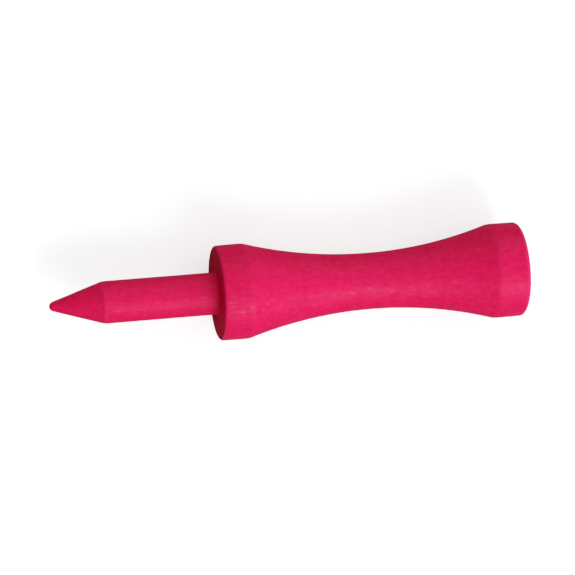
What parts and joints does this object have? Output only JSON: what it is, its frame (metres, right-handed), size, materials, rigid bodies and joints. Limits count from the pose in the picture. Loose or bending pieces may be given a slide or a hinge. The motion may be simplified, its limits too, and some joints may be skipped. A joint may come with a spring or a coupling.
{
  "type": "golf tee",
  "caption": "Stepped wooden golf tee: waisted round barrel with a dished cup, a flat shoulder that stops on the ground, and a plain stem with a blunt point.",
  "frame": {"origin": "centre of the flat shoulder face, which is the ground line in use: the stem is below it and the barrel above it", "axes": "+Z is the tee's axis, pointing up from the stem's point to the cup; X and Y are any two directions across it, since the tee is round"},
  "size_m": [0.0138, 0.0138, 0.07],
  "materials": {
    "wood": "bare turned birch under the paint, grain along the axis",
    "paint": "satin hot-pink paint over fine turning rings and wood grain"
  },
  "bodies": {
    "root": {"wood_body": "wood", "paint_coat": "paint"}
  },
  "joints": []
}
